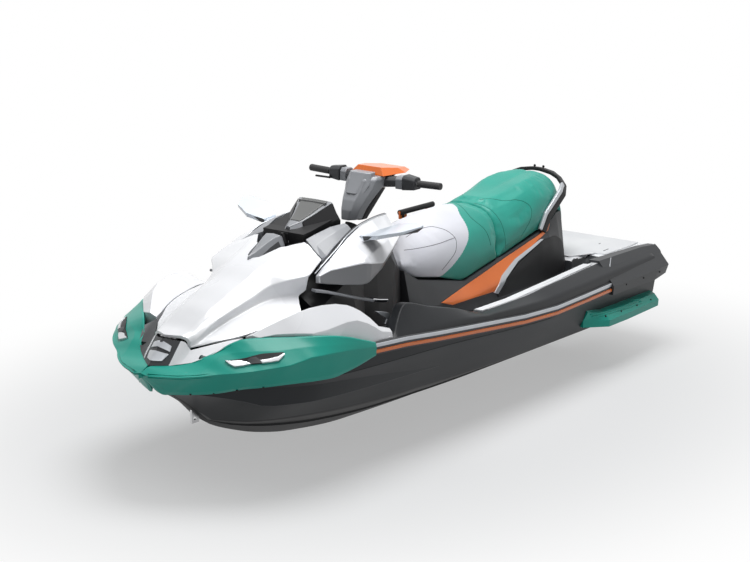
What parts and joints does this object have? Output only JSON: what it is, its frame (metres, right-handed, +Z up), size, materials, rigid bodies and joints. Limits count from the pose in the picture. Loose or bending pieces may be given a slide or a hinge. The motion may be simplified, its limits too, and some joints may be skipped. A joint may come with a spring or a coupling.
{
  "type": "personal watercraft",
  "caption": "Three-seat personal watercraft with V hull, jet pump, steering handlebar and nozzle, front storage hood, reverse bucket and folding boarding step.",
  "frame": {"origin": "on the centre plane at half the craft's length, at the height where it floats", "axes": "+X to the bow, +Y to port, +Z up"},
  "size_m": [3.58, 1.184, 1.2323],
  "materials": {
    "hull_coat": "satin dark grey gelcoat",
    "cast_block": "painted block",
    "white_mat": "matte foam mat",
    "rail_rubber": "matte",
    "orange_trim": "gloss",
    "silver_trim": "metallic",
    "teal_plastic": "satin gloss",
    "white_gloss": "gloss gelcoat",
    "charcoal_plastic": "fine grain",
    "grey_plastic": "satin",
    "black_plastic": "fine grain",
    "display_glass": "gloss",
    "pale_shell": "gloss",
    "white_vinyl": "soft vinyl",
    "teal_vinyl": "soft vinyl",
    "aluminium": "cast, painted",
    "steel": "stainless",
    "orange_pad": "soft foam cover",
    "black_rubber": "ribbed"
  },
  "bodies": {
    "hull": {"hull": "hull_coat", "deck": "hull_coat", "engine_block": "cast_block", "footwell_mats": "white_mat", "rear_deck_pad": "white_mat", "rub_rail": "rail_rubber", "orange_stripe": "orange_trim", "silver_stripe": "silver_trim", "bow_bumper": "teal_plastic", "side_decks": "white_gloss", "nose_grille": "charcoal_plastic", "nose_panels": "white_gloss", "cowl": "grey_plastic", "cowl_base": "black_plastic", "cowl_wings": "grey_plastic", "display": "display_glass", "hood_vent": "grey_plastic", "storage_tub": "black_plastic", "hood_hinge": "steel", "side_fairings": "white_gloss", "console": "black_plastic", "mirrors": "pale_shell", "seat_base": "charcoal_plastic", "front_seat": "white_vinyl", "rear_seat": "teal_vinyl", "orange_trim": "orange_trim", "rear_side_panels": "charcoal_plastic", "grab_rail": "black_plastic", "board_rack": "black_plastic", "stern_corners": "charcoal_plastic", "sponsons": "teal_plastic", "ride_plate": "aluminium", "intake_grate": "aluminium", "pump_housing": "aluminium", "step_brackets": "steel", "steering_neck": "black_plastic", "bow_eye": "steel", "stern_eyes": "steel"},
    "hood": {"hood": "white_gloss"},
    "steering": {"handlebar_mast": "grey_plastic", "handlebar_pad": "orange_pad", "handlebar": "steel", "grips": "black_rubber", "switch_housings": "charcoal_plastic", "throttle_lever": "black_plastic"},
    "nozzle": {"steering_nozzle": "aluminium"},
    "bucket": {"reverse_bucket": "aluminium"},
    "impeller": {"impeller": "steel", "drive_shaft": "steel"},
    "step": {"boarding_step": "black_plastic"}
  },
  "joints": [
    {"name": "hood_hinge", "type": "hinge", "parent": "hull", "child": "hood", "pos_m": [1.605, 0, 0.394], "axis": [0, 1, 0], "range_deg": [0, 50]},
    {"name": "handlebar_steer", "type": "hinge", "parent": "hull", "child": "steering", "pos_m": [0.34, 0, 0.685], "axis": [-0.5299, 0, 0.848], "range_deg": [-22, 22]},
    {"name": "nozzle_steer", "type": "hinge", "parent": "hull", "child": "nozzle", "pos_m": [-1.562, 0, -0.125], "axis": [0, 0, 1], "range_deg": [-22, 22]},
    {"name": "bucket_swing", "type": "hinge", "parent": "hull", "child": "bucket", "pos_m": [-1.49, 0, -0.125], "axis": [0, -1, 0], "range_deg": [0, 75]},
    {"name": "impeller_spin", "type": "hinge", "parent": "hull", "child": "impeller", "pos_m": [-1.392, 0, -0.125], "axis": [1, 0, 0], "continuous": true},
    {"name": "step_fold", "type": "hinge", "parent": "hull", "child": "step", "pos_m": [-1.706, 0, -0.085], "axis": [0, -1, 0], "range_deg": [0, 150]}
  ],
  "couplings": [
    {"joint": "nozzle_steer", "follows": "handlebar_steer", "ratio": -1}
  ]
}
